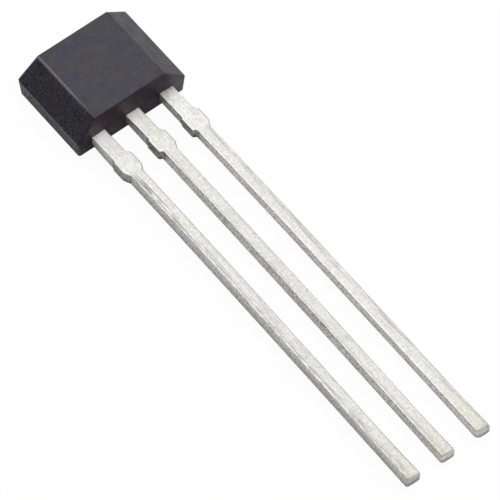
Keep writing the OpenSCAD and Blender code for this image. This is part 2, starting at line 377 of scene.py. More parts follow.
# The painted highlight: a paler line along the case's front-left edge, by the distance from that edge.
from_edge = add(
    tree,
    "ShaderNodeMath",
    {"operation": "SUBTRACT", 1: FACE_LEFT / MM + HIGHLIGHT_INSET},
    {0: where.outputs["X"]},
)
either_way = add(tree, "ShaderNodeMath", {"operation": "ABSOLUTE"}, {0: from_edge.outputs[0]})
line = add(
    tree,
    "ShaderNodeMapRange",
    {
        "From Min": HIGHLIGHT_CORE,
        "From Max": HIGHLIGHT_REACH,
        "To Min": EDGE_HIGHLIGHT,
        "To Max": 0.0,
        "interpolation_type": "SMOOTHSTEP",
    },
    {"Value": either_way.outputs[0]},
)
upper = add(tree, "ShaderNodeMath", {"operation": "GREATER_THAN", 1: HIGHLIGHT_LOW}, {0: where.outputs["Z"]})
far = add(
    tree,
    "ShaderNodeMapRange",
    {"From Min": HIGHLIGHT_ALONG[0], "From Max": HIGHLIGHT_ALONG[1]},
    {"Value": where.outputs["Y"]},
)
on_front = add(
    tree,
    "ShaderNodeMath",
    {"operation": "MULTIPLY"},
    {0: line.outputs[0], 1: upper.outputs[0]},
)
painted_highlight = add(
    tree,
    "ShaderNodeMath",
    {"operation": "MULTIPLY"},
    {0: on_front.outputs[0], 1: far.outputs[0]},
)
# Mixes the painted highlight into the resin's colour.
highlighted = add(
    tree,
    "ShaderNodeMix",
    {"data_type": "RGBA", 7: linear("#6f6d76")},
    {0: painted_highlight.outputs[0], 6: speckled.outputs[0]},
)
# The middle of the painted highlight:
print("rubbed line at x", FACE_LEFT / MM + HIGHLIGHT_INSET, "mm")

# %% [markdown]
# ### Satin shine
# The finish is satin, with a shine that changes in faint clouds. The stained end walls mirror less
# light, which is painted shade there. The flecks glint too, because each is a small flat place in the
# grain, so they change how much light is mirrored as well as the colour. The grain itself is a bump of
# real depth.

# %% Shine and grain of the epoxy
CLOUD = 0.28  # mm, where the shine changes
SATIN = (0.42, 0.54)  # roughness, from the shiny clouds to the dull ones
MIRRORED = 0.56  # how much light the plain resin mirrors
STAIN_AND_SHADE_DULLS = 0.8  # how much less of it a full stain would mirror, as painted shade
GRAIN_DEPTH = 0.014 * MM
EPOXY_IOR = 1.55

cloud = add(tree, "ShaderNodeTexNoise", {"Scale": 1 / CLOUD, "Detail": 2.0}, {"Vector": mm.outputs[0]})
sheen = add(
    tree,
    "ShaderNodeMapRange",
    {"From Min": 0.35, "From Max": 0.65, "To Min": SATIN[0], "To Max": SATIN[1]},
    {"Value": cloud.outputs["Fac"]},
)
# There the end walls also mirror less, which is painted shade under and between the leads.
stain_and_shade = add(
    tree,
    "ShaderNodeMath",
    {"operation": "MULTIPLY"},
    {0: end_wall.outputs[0], 1: between.outputs[0]},
)
mirrored_with_painted_shade = add(
    tree,
    "ShaderNodeMath",
    {"operation": "MULTIPLY_ADD", 1: -STAIN_AND_SHADE_DULLS, 2: MIRRORED},
    {0: stain_and_shade.outputs[0]},
)
sparkle = add(
    tree,
    "ShaderNodeMath",
    {"operation": "MULTIPLY"},
    {0: flecks.outputs[0], 1: mirrored_with_painted_shade.outputs[0]},
)
bump = add(
    tree,
    "ShaderNodeBump",
    {"Strength": 0.8, "Distance": GRAIN_DEPTH},
    {"Height": grain.outputs["Fac"]},
)
surface = add(
    tree,
    "ShaderNodeBsdfPrincipled",
    {"IOR": EPOXY_IOR, "Metallic": 0.0},
    {
        "Base Color": highlighted.outputs[2],
        "Roughness": sheen.outputs[0],
        "Specular IOR Level": sparkle.outputs[0],
        "Specular Tint": tint.outputs[0],
        "Normal": bump.outputs[0],
    },
)
add(tree, "ShaderNodeOutputMaterial", links={"Surface": surface.outputs[0]})
print("made", epoxy.name, "with", len(tree.nodes), "nodes")

# %% [markdown]
# ## Matte tin
# The leads are stamped from copper alloy and plated with matte tin. The flat faces keep faint rolling
# marks that run along the lead, dull spots left by the plating bath and faint stains. Each kind of
# mark is one noise texture. Where a mark is long and thin, the coordinates are divided by its size
# across, along and through the lead, so that the noise comes out stretched.

# %% Marks in the tin
STREAK = (0.045, 1.1, 0.2)  # mm across, along and through the lead
BLOOM = 0.45  # mm, the size of the faint stains
SPOT = 0.09  # mm, the dull spots
TIN = {0.36: "#d3cfcc", 0.5: "#d9d8d4", 0.64: "#d0d2c9"}  # stained pinkish, bare, stained greenish
STREAK_SHADES = (0.84, 1.07)  # 1 leaves the colour as it is
SPOT_SHADES = (0.84, 1.08)

tin = blank_material("matte_tin_plate")
tree = tin.node_tree
place = add(tree, "ShaderNodeTexCoord")
mm = add(
    tree,
    "ShaderNodeVectorMath",
    {"operation": "SCALE", "Scale": 1 / MM},
    {0: place.outputs["Object"]},
)
where = add(tree, "ShaderNodeSeparateXYZ", {}, {0: mm.outputs[0]})
facing = add(tree, "ShaderNodeSeparateXYZ", {}, {0: place.outputs["Normal"]})

along = add(tree, "ShaderNodeVectorMath", {"operation": "DIVIDE", 1: STREAK}, {0: mm.outputs[0]})
streaks = add(tree, "ShaderNodeTexNoise", {"Scale": 1.0, "Detail": 3.0}, {"Vector": along.outputs[0]})
stains = add(
    tree,
    "ShaderNodeTexNoise",
    {"Scale": 1 / BLOOM, "Detail": 3.0, "Roughness": 0.6},
    {"Vector": mm.outputs[0]},
)
spots = add(
    tree,
    "ShaderNodeTexNoise",
    {"Scale": 1 / SPOT, "Detail": 3.0, "Roughness": 0.7},
    {"Vector": mm.outputs[0]},
)
plate = add(tree, "ShaderNodeValToRGB", {}, {"Fac": stains.outputs["Fac"]})
set_stops(plate, TIN)
streaked = add(
    tree,
    "ShaderNodeMapRange",
    {"From Min": 0.35, "From Max": 0.65, "To Min": STREAK_SHADES[0], "To Max": STREAK_SHADES[1]},
    {"Value": streaks.outputs["Fac"]},
)
dulled = add(
    tree,
    "ShaderNodeMapRange",
    {"From Min": 0.35, "From Max": 0.65, "To Min": SPOT_SHADES[0], "To Max": SPOT_SHADES[1]},
    {"Value": spots.outputs["Fac"]},
)
marks = add(
    tree,
    "ShaderNodeMath",
    {"operation": "MULTIPLY"},
    {0: streaked.outputs[0], 1: dulled.outputs[0]},
)
print("streaks are", round(STREAK[1] / STREAK[0]), "times as long as wide")

# %% [markdown]
# ### Handling, and painted light near the case
# Fingers and trays have dulled the long shanks, while the necks near the case stayed clean. Near the
# case the tin is also a little paler, which is painted light in place of the light that the case keeps
# from it. The supply lead is blotched along its left half, the ground lead has one dull stripe, and
# the output lead was wiped along its right edge. Each place is a range of x in millimetres, which a
# Map Range node turns into a shade, and the shades are then multiplied.

# %% Handling, and painted light near the case
CLEAN_AND_LIT_REACH = 2.4  # mm, how far from the case the leads were never handled and get painted light
CLEAN_AND_LIT_FADE = 0.7  # mm
CLEAN_AND_LIT = 1.05  # the shade of the clean tin, a little paler as painted light
RUBS = (0.06, 0.32, 0.2)  # mm across, along and through the lead, the rubbed blotches
BLOTCHES = (0.7, 1.0)  # the shades of the blotches
BLOTCHED = (-1.36, -1.2)  # mm in x, where the blotches are full and where they have gone
WIPES = (0.72, 0.97)  # the shades of the wiped edge
WIPED = (1.34, 1.43)  # mm in x, where it starts and where it is full
STRIPE = -0.1  # mm in x, the dull stripe down the ground lead
STRIPE_SHADE = 0.84
STRIPE_EDGE = (0.02, 0.08)  # mm from its middle, where the stripe starts to fade and where it ends

# Near the case the handling marks are left off and the tin is a little paler, which is painted light.
clean_and_lit_from = case_foot - CLEAN_AND_LIT_REACH
clean_and_lit = add(
    tree,
    "ShaderNodeMapRange",
    {"From Min": clean_and_lit_from, "From Max": clean_and_lit_from + CLEAN_AND_LIT_FADE, "To Min": 0.0, "To Max": CLEAN_AND_LIT},
    {"Value": where.outputs["Y"]},
)
beside = add(tree, "ShaderNodeVectorMath", {"operation": "DIVIDE", 1: RUBS}, {0: mm.outputs[0]})
rubs = add(
    tree,
    "ShaderNodeTexNoise",
    {"Scale": 1.0, "Detail": 4.0, "Roughness": 0.6},
    {"Vector": beside.outputs[0]},
)
blotched = add(
    tree,
    "ShaderNodeMapRange",
    {"From Min": 0.42, "From Max": 0.58, "To Min": BLOTCHES[0], "To Max": BLOTCHES[1]},
    {"Value": rubs.outputs["Fac"]},
)
tarnish = add(
    tree,
    "ShaderNodeMapRange",
    {"From Min": BLOTCHED[0], "From Max": BLOTCHED[1]},
    {"Value": where.outputs["X"], "To Min": blotched.outputs[0]},
)
wiped = add(
    tree,
    "ShaderNodeMapRange",
    {"From Min": 0.4, "From Max": 0.6, "To Min": WIPES[0], "To Max": WIPES[1]},
    {"Value": streaks.outputs["Fac"]},
)
smear = add(
    tree,
    "ShaderNodeMapRange",
    {"From Min": WIPED[0], "From Max": WIPED[1], "To Min": 1.0},
    {"Value": where.outputs["X"], "To Max": wiped.outputs[0]},
)
from_stripe = add(tree, "ShaderNodeMath", {"operation": "SUBTRACT", 1: STRIPE}, {0: where.outputs["X"]})
off_stripe = add(tree, "ShaderNodeMath", {"operation": "ABSOLUTE"}, {0: from_stripe.outputs[0]})
stripe = add(
    tree,
    "ShaderNodeMapRange",
    {"From Min": STRIPE_EDGE[0], "From Max": STRIPE_EDGE[1], "To Min": STRIPE_SHADE, "To Max": 1.0},
    {"Value": off_stripe.outputs[0]},
)
smudged = add(
    tree,
    "ShaderNodeMath",
    {"operation": "MULTIPLY"},
    {0: stripe.outputs[0], 1: smear.outputs[0]},
)
dirty = add(
    tree,
    "ShaderNodeMath",
    {"operation": "MULTIPLY"},
    {0: tarnish.outputs[0], 1: smudged.outputs[0]},
)
# Near the case the painted light wins over the handling marks.
touched = add(
    tree,
    "ShaderNodeMath",
    {"operation": "MAXIMUM"},
    {0: dirty.outputs[0], 1: clean_and_lit.outputs[0]},
)
shade = add(
    tree,
    "ShaderNodeMath",
    {"operation": "MULTIPLY"},
    {0: marks.outputs[0], 1: touched.outputs[0]},
)
print("handled beyond y", round(clean_and_lit_from, 3), "mm")

# %% [markdown]
# ### Tips, painted light near the case, and the scores
# The tips were dipped in solder, which is a little yellower. At the case the first leads are mixed
# towards white, which is painted light in place of the light that the case keeps from them. The
# trimming die scored the supply lead, and the scores are darkened where they are deep, which is
# painted shade in the grooves. How deep they are is stored on the points of the mesh, as an attribute
# that is made with the lead below. A Mix node has inputs of its own for each kind of data: 2 and 3
# take numbers, 6 and 7 take colours, and the colour comes out at output 2.

# %% Tips, painted light near the case, and the scores
DIP_REACH = 2.4  # mm, how far up the tips went into the solder
DIP = 0.85  # how much solder is on the very tip
PAINTED_LIGHT_REACH = 0.7  # mm, how far along the leads the painted light near the case goes
PAINTED_LIGHT_FULL = 0.1  # mm, how far along the leads it is at its strongest
PAINTED_LIGHT = 1.6  # how much painted light there is, before the faint stains thin it
PAINTED_LIGHT_ENDS = (0.3, 1.1)  # mm in x, where the painted light thins out towards the output lead
SCORE_SHADES = (-0.3, -0.55)  # what a score takes away as painted shade, between the spots and in them

dipped = add(
    tree,
    "ShaderNodeMapRange",
    {"From Min": tip_end, "From Max": tip_end + DIP_REACH, "To Min": DIP, "To Max": 0.0},
    {"Value": where.outputs["Y"]},
)
tipped = add(
    tree,
    "ShaderNodeMix",
    {"data_type": "RGBA", 7: linear("#d0cfc3")},
    {0: dipped.outputs[0], 6: plate.outputs[0]},
)
face = add(
    tree,
    "ShaderNodeVectorMath",
    {"operation": "SCALE"},
    {0: tipped.outputs[2], "Scale": shade.outputs[0]},
)
# Near the case the leads are mixed towards white: painted light in place of the light that the case
# keeps from them. The output lead, which the case shades least, gets none.
near_case = add(
    tree,
    "ShaderNodeMapRange",
    {"From Min": case_foot - PAINTED_LIGHT_REACH, "From Max": case_foot - PAINTED_LIGHT_FULL, "To Max": PAINTED_LIGHT},
    {"Value": where.outputs["Y"]},
)
painted_light_across = add(
    tree,
    "ShaderNodeMapRange",
    {"From Min": PAINTED_LIGHT_ENDS[0], "From Max": PAINTED_LIGHT_ENDS[1], "To Min": 1.0, "To Max": 0.0},
    {"Value": where.outputs["X"]},
)
painted_light_share = add(
    tree,
    "ShaderNodeMath",
    {"operation": "MULTIPLY"},
    {0: near_case.outputs[0], 1: painted_light_across.outputs[0]},
)
mottled_painted_light = add(
    tree,
    "ShaderNodeMath",
    {"operation": "MULTIPLY"},
    {0: painted_light_share.outputs[0], 1: stains.outputs["Fac"]},
)
painted_lit = add(
    tree,
    "ShaderNodeMix",
    {"data_type": "RGBA", 7: linear("#fffcfa")},
    {0: mottled_painted_light.outputs[0], 6: face.outputs[0]},
)
# The scores are darkened by their strength, which is painted shade in the grooves.
scored = add(tree, "ShaderNodeAttribute", {"attribute_name": "scored"})
score_shade = add(
    tree,
    "ShaderNodeMapRange",
    {"From Min": 0.4, "From Max": 0.6, "To Min": SCORE_SHADES[0], "To Max": SCORE_SHADES[1]},
    {"Value": spots.outputs["Fac"]},
)
score_shaded = add(
    tree,
    "ShaderNodeMath",
    {"operation": "MULTIPLY_ADD", 2: 1.0, "use_clamp": True},
    {0: scored.outputs["Fac"], 1: score_shade.outputs[0]},
)
top = add(
    tree,
    "ShaderNodeVectorMath",
    {"operation": "SCALE"},
    {0: painted_lit.outputs[2], "Scale": score_shaded.outputs[0]},
)
print("solder up to y", round(tip_end + DIP_REACH, 3), "mm")
# How far along the leads the painted light near the case reaches:
print("film down to y", round(case_foot - PAINTED_LIGHT_REACH, 3), "mm")

# %% [markdown]
# ### Sheared sides
# The punch cuts a bright band near the face that it enters and tears the rest, so the sides are darker
# and rougher towards the back, with short marks across the sheet. The even fall from light at the
# front of the sheet to dark at its back, and the near-black back of the cut ends, are partly that band
# and the tear, and partly painted light and shade, with the painted shade near the floor. The right
# edges were rolled over, and there the side starts further round. Thicker tin on the tips hides part
# of it. How steep a place is comes from its normal, so the side's finish follows the shape wherever
# the lead bends or turns.

# %% Sheared sides
SHEAR = (0.3, 0.045, 0.12)  # mm across, along and through the lead
STEEP_FROM = (0.3, 0.8)  # the z of a normal, where the side has its full finish and where it starts
ROLLED = 0.75  # how much later the side starts on the right
TIP_REACH = 1.4  # mm, how far the thicker tin goes up from the tips
TIP_SIDES = 0.7  # how much of the sheared finish is left on the very tip
SHEAR_BAND_AND_LIGHT = (0.78, 1.3)  # the shades of the side at the back and at the front of the sheet, partly painted light and shade
TORN_AND_SHADED_REACH = 0.36  # mm from the back of the sheet, the reach of the torn zone and its painted shade
TORN_AND_SHADED = 0.95  # how dark the torn end of a lead is at its back, partly painted shade near the floor

flat = add(tree, "ShaderNodeMath", {"operation": "ABSOLUTE"}, {0: facing.outputs["Z"]})
right = add(tree, "ShaderNodeMath", {"operation": "MAXIMUM", 1: 0.0}, {0: facing.outputs["X"]})
rolled = add(
    tree,
    "ShaderNodeMath",
    {"operation": "MULTIPLY_ADD", 1: -ROLLED},
    {0: right.outputs[0], 2: flat.outputs[0]},
)
to_tip = add(
    tree,
    "ShaderNodeMapRange",
    {"From Min": tip_end, "From Max": tip_end + TIP_REACH, "To Min": TIP_SIDES, "To Max": 1.0},
    {"Value": where.outputs["Y"]},
)
steep = add(
    tree,
    "ShaderNodeMapRange",
    {
        "From Min": STEEP_FROM[0],
        "From Max": STEEP_FROM[1],
        "To Min": 1.0,
        "To Max": 0.0,
        "interpolation_type": "SMOOTHSTEP",
    },
    {"Value": rolled.outputs[0]},
)
sheared = add(
    tree,
    "ShaderNodeMath",
    {"operation": "MULTIPLY"},
    {0: steep.outputs[0], 1: to_tip.outputs[0]},
)
across = add(tree, "ShaderNodeVectorMath", {"operation": "DIVIDE", 1: SHEAR}, {0: mm.outputs[0]})
ticks = add(tree, "ShaderNodeTexNoise", {"Scale": 1.0, "Detail": 3.0}, {"Vector": across.outputs[0]})
ticked = add(
    tree,
    "ShaderNodeMapRange",
    {"From Min": 0.38, "From Max": 0.62},
    {"Value": ticks.outputs["Fac"]},
)
cut = add(
    tree,
    "ShaderNodeMix",
    {"data_type": "RGBA", 6: linear("#b6b5b1"), 7: linear("#dbdad5")},
    {0: ticked.outputs[0]},
)
# The side is lighter towards the front of the sheet: partly the shear band, partly painted light and
# shade.
shear_band_and_light = add(
    tree,
    "ShaderNodeMapRange",
    {"From Min": sheet_z[0], "From Max": sheet_z[1], "To Min": SHEAR_BAND_AND_LIGHT[0], "To Max": SHEAR_BAND_AND_LIGHT[1]},
    {"Value": where.outputs["Z"]},
)
# The ends go almost black at the back of the sheet: partly the tear, partly painted shade near the
# floor.
fracture_and_shade = add(
    tree,
    "ShaderNodeMapRange",
    {"From Min": sheet_z[0], "From Max": sheet_z[0] + TORN_AND_SHADED_REACH, "To Min": TORN_AND_SHADED, "To Max": 0.0},
    {"Value": where.outputs["Z"]},
)
end_on = add(tree, "ShaderNodeMath", {"operation": "ABSOLUTE"}, {0: facing.outputs["Y"]})
broken_and_shaded = add(
    tree,
    "ShaderNodeMath",
    {"operation": "MULTIPLY"},
    {0: end_on.outputs[0], 1: fracture_and_shade.outputs[0]},
)
clear_of_tear_and_shade = add(tree, "ShaderNodeMath", {"operation": "SUBTRACT", 0: 1.0}, {1: broken_and_shaded.outputs[0]})
lit = add(tree, "ShaderNodeMath", {"operation": "MULTIPLY"}, {0: shear_band_and_light.outputs[0], 1: clear_of_tear_and_shade.outputs[0]})
print("the sides run from z", round(sheet_z[0], 3), "to", round(sheet_z[1], 3), "mm")

# %% [markdown]
# ### The dam bar and painted shade on the sides
# A dam bar joined the leads while the case was moulded, and snapping it off left dull copper on the
# steps. The sides of the necks between it and the case are darkened by painted shade, most of all on
# the supply lead. The sides of the supply lead's shank are darkened by painted shade too.

# %% The dam bar and painted shade on the sides
DAM_CENTRE = -1.43  # mm from the case, the middle of the snapped dam bar
DAM_HALF = 0.42  # mm
DAM_FADE = 0.05  # mm
DAM_SHADE = 0.55  # of the copper where the bar snapped off
LEAD_PITCH = 1.27  # mm, from one lead to the next
NECK_SHADES = (0.8, 0.92)  # the painted shade of the necks' sides, from the supply lead to the output lead
NECK_SHADE_FROM = (-1.75, -1.45)  # mm from the case
SHADED_SIDES = (-1.1, -0.2)  # mm in x, where the painted shade on the sides is full and where it has gone
SHADED_SIDES_SHADE = 0.75  # of the supply lead's sides, painted shade

from_dam = add(
    tree,
    "ShaderNodeMath",
    {"operation": "SUBTRACT", 1: case_foot + DAM_CENTRE},
    {0: where.outputs["Y"]},
)
off_dam = add(tree, "ShaderNodeMath", {"operation": "ABSOLUTE"}, {0: from_dam.outputs[0]})
snapped = add(
    tree,
    "ShaderNodeMapRange",
    {"From Min": DAM_HALF - DAM_FADE, "From Max": DAM_HALF + DAM_FADE, "To Min": DAM_SHADE},
    {"Value": off_dam.outputs[0]},
)
# Painted shade on the sides of the supply lead's shank.
shaded_supply_sides = add(
    tree,
    "ShaderNodeMapRange",
    {"From Min": SHADED_SIDES[0], "From Max": SHADED_SIDES[1], "To Min": SHADED_SIDES_SHADE},
    {"Value": where.outputs["X"]},
)
# Painted shade on the sides of the necks, most on the supply lead.
neck_shade = add(
    tree,
    "ShaderNodeMapRange",
    {"From Min": -LEAD_PITCH, "From Max": LEAD_PITCH, "To Min": NECK_SHADES[0], "To Max": NECK_SHADES[1]},
    {"Value": where.outputs["X"]},
)
kept = add(
    tree,
    "ShaderNodeMath",
    {"operation": "MAXIMUM"},
    {0: shaded_supply_sides.outputs[0], 1: clean_and_lit.outputs[0]},
)
before_dam = add(
    tree,
    "ShaderNodeMapRange",
    {"From Min": case_foot + NECK_SHADE_FROM[0], "From Max": case_foot + NECK_SHADE_FROM[1]},
    {"Value": where.outputs["Y"]},
)
# Between the dam bar and the case the sides take the necks' painted shade, and further out that of the
# shank, or the painted light near the case.
used = add(
    tree,
    "ShaderNodeMix",
    {"data_type": "FLOAT"},
    {0: before_dam.outputs[0], 2: kept.outputs[0], 3: neck_shade.outputs[0]},
)
snapped_and_shaded = add(
    tree,
    "ShaderNodeMath",
    {"operation": "MULTIPLY"},
    {0: snapped.outputs[0], 1: used.outputs[0]},
)
tone = add(tree, "ShaderNodeMath", {"operation": "MULTIPLY"}, {0: snapped_and_shaded.outputs[0], 1: lit.outputs[0]})
side = add(
    tree,
    "ShaderNodeVectorMath",
    {"operation": "SCALE"},
    {0: cut.outputs[2], "Scale": tone.outputs[0]},
)
print("the dam bar was", 2 * DAM_HALF, "mm wide at y", round(case_foot + DAM_CENTRE, 3), "mm")

# %% [markdown]
# ### Painted highlight on the left edges, and the nick
# Along the edges of the leads that face left, a painted highlight is mixed in, in slivers. The
# solder on the tips covers it. A nick in the ground lead shows the copper. It is a short oval: the
# distance from its middle is measured with y halved, and spots make its rim ragged.

# %% Painted highlight on the left edges, and the nick
HIGHLIGHT_SLIVERS = (0.45, 0.95)  # how much painted highlight the edges get between the slivers and in them
NICK = (-0.18, -10.85, 0.71)  # mm, the middle of the nick
NICK_SHAPE = (1.0, 0.5, 1.0)  # it is twice as long as wide
NICK_REACH = 0.11  # mm
NICK_FADE = 0.05  # mm
NICK_RIM = 0.12  # mm, how ragged the rim is
BARE = 0.8  # how much copper shows in the middle

# A painted highlight along the edges that face left, in slivers, and none where solder covers the tips.
left = add(tree, "ShaderNodeMath", {"operation": "MULTIPLY", 1: -1.0}, {0: facing.outputs["X"]})
highlight_slivers = add(
    tree,
    "ShaderNodeMapRange",
    {"From Min": 0.44, "From Max": 0.56, "To Min": HIGHLIGHT_SLIVERS[0], "To Max": HIGHLIGHT_SLIVERS[1]},
    {"Value": rubs.outputs["Fac"]},
)
bright = add(
    tree,
    "ShaderNodeMapRange",
    {"From Min": 0.04, "From Max": 0.25},
    {"Value": left.outputs[0], "To Max": highlight_slivers.outputs[0]},
)
undipped = add(tree, "ShaderNodeMath", {"operation": "SUBTRACT", 0: 1.0}, {1: dipped.outputs[0]})
highlight_share = add(
    tree,
    "ShaderNodeMath",
    {"operation": "MULTIPLY"},
    {0: bright.outputs[0], 1: undipped.outputs[0]},
)
# Mixes the painted highlight, towards white, into the colour of the faces.
edge_highlighted = add(
    tree,
    "ShaderNodeMix",
    {"data_type": "RGBA", 7: WHITE},
    {0: highlight_share.outputs[0], 6: top.outputs[0]},
)
colour = add(
    tree,
    "ShaderNodeMix",
    {"data_type": "RGBA"},
    {0: sheared.outputs[0], 6: edge_highlighted.outputs[2], 7: side.outputs[0]},
)
offset = add(tree, "ShaderNodeVectorMath", {"operation": "SUBTRACT", 1: NICK}, {0: mm.outputs[0]})
squeezed = add(
    tree,
    "ShaderNodeVectorMath",
    {"operation": "MULTIPLY", 1: NICK_SHAPE},
    {0: offset.outputs[0]},
)
nick = add(tree, "ShaderNodeVectorMath", {"operation": "LENGTH"}, {0: squeezed.outputs[0]})
ragged = add(
    tree,
    "ShaderNodeMath",
    {"operation": "MULTIPLY_ADD", 1: NICK_RIM},
    {0: spots.outputs["Fac"], 2: nick.outputs["Value"]},
)
bare = add(
    tree,
    "ShaderNodeMapRange",
    {"From Min": NICK_REACH, "From Max": NICK_REACH + NICK_FADE, "To Min": BARE, "To Max": 0.0},
    {"Value": ragged.outputs[0]},
)
nicked = add(
    tree,
    "ShaderNodeMix",
    {"data_type": "RGBA", 7: linear("#b3886c")},
    {0: bare.outputs[0], 6: colour.outputs[2]},
)
print("nick at", NICK, "mm")

# %% [markdown]
# ### Relief and shine of the tin
# Tin is a metal, so its colour is the colour of what it mirrors. Its roughness follows the streaks. Two
# bumps follow each other: the grooves of rolling or shearing, and then the frost of tin crystals.

# %% Relief and shine of the tin
CRYSTAL = 0.035  # mm, drawn coarser than the real grain of a few microns, which would not show
MATTE = (0.46, 0.6)  # roughness, along the streaks
GROOVE_DEPTH = 0.004 * MM
FROST_DEPTH = 0.002 * MM

gloss = add(
    tree,
    "ShaderNodeMapRange",
    {"From Min": 0.35, "From Max": 0.65, "To Min": MATTE[0], "To Max": MATTE[1]},
    {"Value": streaks.outputs["Fac"]},
)
relief = add(
    tree,
    "ShaderNodeMix",
    {"data_type": "FLOAT"},
    {0: sheared.outputs[0], 2: streaks.outputs["Fac"], 3: ticks.outputs["Fac"]},
)
crystals = add(
    tree,
    "ShaderNodeTexNoise",
    {"Scale": 1 / CRYSTAL, "Detail": 2.0},
    {"Vector": mm.outputs[0]},
)
grooves = add(
    tree,
    "ShaderNodeBump",
    {"Strength": 0.6, "Distance": GROOVE_DEPTH},
    {"Height": relief.outputs[0]},
)
frosted = add(
    tree,
    "ShaderNodeBump",
    {"Strength": 0.5, "Distance": FROST_DEPTH},
    {"Height": crystals.outputs["Fac"], "Normal": grooves.outputs[0]},
)
surface = add(
    tree,
    "ShaderNodeBsdfPrincipled",
    {"Metallic": 1.0},
    {"Base Color": nicked.outputs[2], "Roughness": gloss.outputs[0], "Normal": frosted.outputs[0]},
)
add(tree, "ShaderNodeOutputMaterial", links={"Surface": surface.outputs[0]})
print("made", tin.name, "with", len(tree.nodes), "nodes")

# %% [markdown]
# ## Rounding edges
# A real edge always has a radius, and that radius is what catches the light. A bevel that is set back
# from the edge by r times tan of half the angle between the faces has the radius r. Each edge gets its
# own radius as a bevel weight, and one Bevel modifier then rounds them all, corners included. Marks
# such as a recess are cut afterwards, and weighted normals keep the large faces flat.


# %% Helpers that make a piece
WIDEST = 0.12 * MM  # the bevel of an edge whose weight is 1
ROUND_STEPS = 5  # faces across a rounded edge
CREASE = math.radians(45)  # an edge that turns more than this stays sharp in the shading


def weigh_edges(bm, radius_of):
    """Gives each edge the bevel weight for the radius that radius_of(edge) returns, in metres."""
    weight = bm.edges.layers.float.new("bevel_weight_edge")
    for edge in bm.edges:
        edge[weight] = min(1.0, radius_of(edge) * math.tan(edge.calc_face_angle(0.0) / 2) / WIDEST)


def carrier_of(bm, name):
    """An object with the mesh of bm, all of it smooth except at edges that are too sharp for that."""
    for edge in bm.edges:
        edge.smooth = edge.calc_face_angle(0.0) < CREASE
    for face in bm.faces:
        face.smooth = True
    mesh = bpy.data.meshes.new(name)
    bm.to_mesh(mesh)
    bm.free()
    carrier = bpy.data.objects.new(name, mesh)
    bpy.context.scene.collection.objects.link(carrier)
    return carrier


def finished_mesh(carrier, name, cuts=()):
    """The mesh of carrier, its weighted edges rounded and each (tool, operation) of cuts applied."""
    bevel = carrier.modifiers.new("radii", "BEVEL")
    bevel.limit_method = "WEIGHT"
    bevel.offset_type = "OFFSET"
    bevel.width = WIDEST
    bevel.segments = ROUND_STEPS
    bevel.profile = 0.5
    bevel.use_clamp_overlap = False
    for tool, operation in cuts:
        boolean = carrier.modifiers.new(tool.name, "BOOLEAN")
        boolean.object = tool
        boolean.operation = operation
        boolean.solver = "EXACT"
    shading = carrier.modifiers.new("flat_faces", "WEIGHTED_NORMAL")
    shading.keep_sharp = True
    graph = bpy.context.evaluated_depsgraph_get()
    mesh = bpy.data.meshes.new_from_object(carrier.evaluated_get(graph))
    mesh.name = name
    for used in [carrier, *(tool for tool, _ in cuts)]:
        used_mesh = used.data
        bpy.data.objects.remove(used)
        bpy.data.meshes.remove(used_mesh)
    return mesh


def new_piece(name, mesh, material, node):
    """Puts a mesh in the scene as a piece that stands for a CAD node."""
    mesh.materials.clear()
    mesh.materials.append(material)
    piece = bpy.data.objects.new(name, mesh)
    bpy.context.scene.collection.objects.link(piece)
    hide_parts(node)
    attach(piece, "root")


print("edges that turn more than", round(math.degrees(CREASE)), "degrees are shaded sharp")

# %% [markdown]
# ## The moulded case
# The mould closes on the front face of the lead frame, so the case is widest there. In front of that
# line two broad chamfers rise to the sensing face, and the ends slope by their draft. Behind it the
# walls lean in a little. A cube is cut at the parting line, and its front and back are then scaled in.

# %% Block of the case
FRONT_DRAFT = math.radians(7)
BACK_DRAFT = math.radians(4)
FACE_RIGHT = 1.295 * MM  # the right edge of the sensing face; the left one was needed for the painted highlight
SAME = 0.01 * MM  # places that are nearer than this are the same place
ON_PLANE = 1e-8  # metres, how near a cut a point is taken to lie on it

case_low, case_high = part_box("moulded_case")
case_w = case_high.x - case_low.x
case_h = -2 * case_low.y
case_t = case_high.z
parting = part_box("supply_lead")[1].z
end_inset = (case_t - parting) * math.tan(FRONT_DRAFT)
back_inset = parting * math.tan(BACK_DRAFT)

bm = bmesh.new()
bmesh.ops.create_cube(bm, size=1.0)
bmesh.ops.translate(bm, verts=bm.verts, vec=(0, 0, 0.5))
bmesh.ops.scale(bm, verts=bm.verts, vec=(case_w, case_h, case_t))
bmesh.ops.bisect_plane(
    bm,
    geom=bm.verts[:] + bm.edges[:] + bm.faces[:],
    dist=ON_PLANE,
    plane_co=(0, 0, parting),
    plane_no=(0, 0, 1),
)
front = [v for v in bm.verts if v.co.z > case_t - SAME]
back = [v for v in bm.verts if v.co.z < SAME]
bmesh.ops.scale(bm, verts=front, vec=(1, 1 - 2 * end_inset / case_h, 1))
for vertex in front:
    vertex.co.x = FACE_RIGHT if vertex.co.x > 0 else FACE_LEFT
bmesh.ops.scale(bm, verts=back, vec=(1 - 2 * back_inset / case_w, 1 - 2 * back_inset / case_h, 1))
bmesh.ops.recalc_face_normals(bm, faces=bm.faces)
print("case block", [round(size / MM, 3) for size in (case_w, case_h, case_t)], "mm")
print("parting line at z", round(parting / MM, 3), "mm")

# %% [markdown]
# ### Its edges
# The halves of the mould meet at the parting line, so that edge is almost sharp. The corners and the
# ends are rounder than the long edges beside the sensing face. Which radius an edge gets is told by
# the way that it runs and by its place.

# %% Edges of the case
SIDE_EDGE = 0.04 * MM  # the radii of the edges
END_EDGE = 0.06 * MM
CORNER_EDGE = 0.09 * MM
PARTING_EDGE = 0.015 * MM


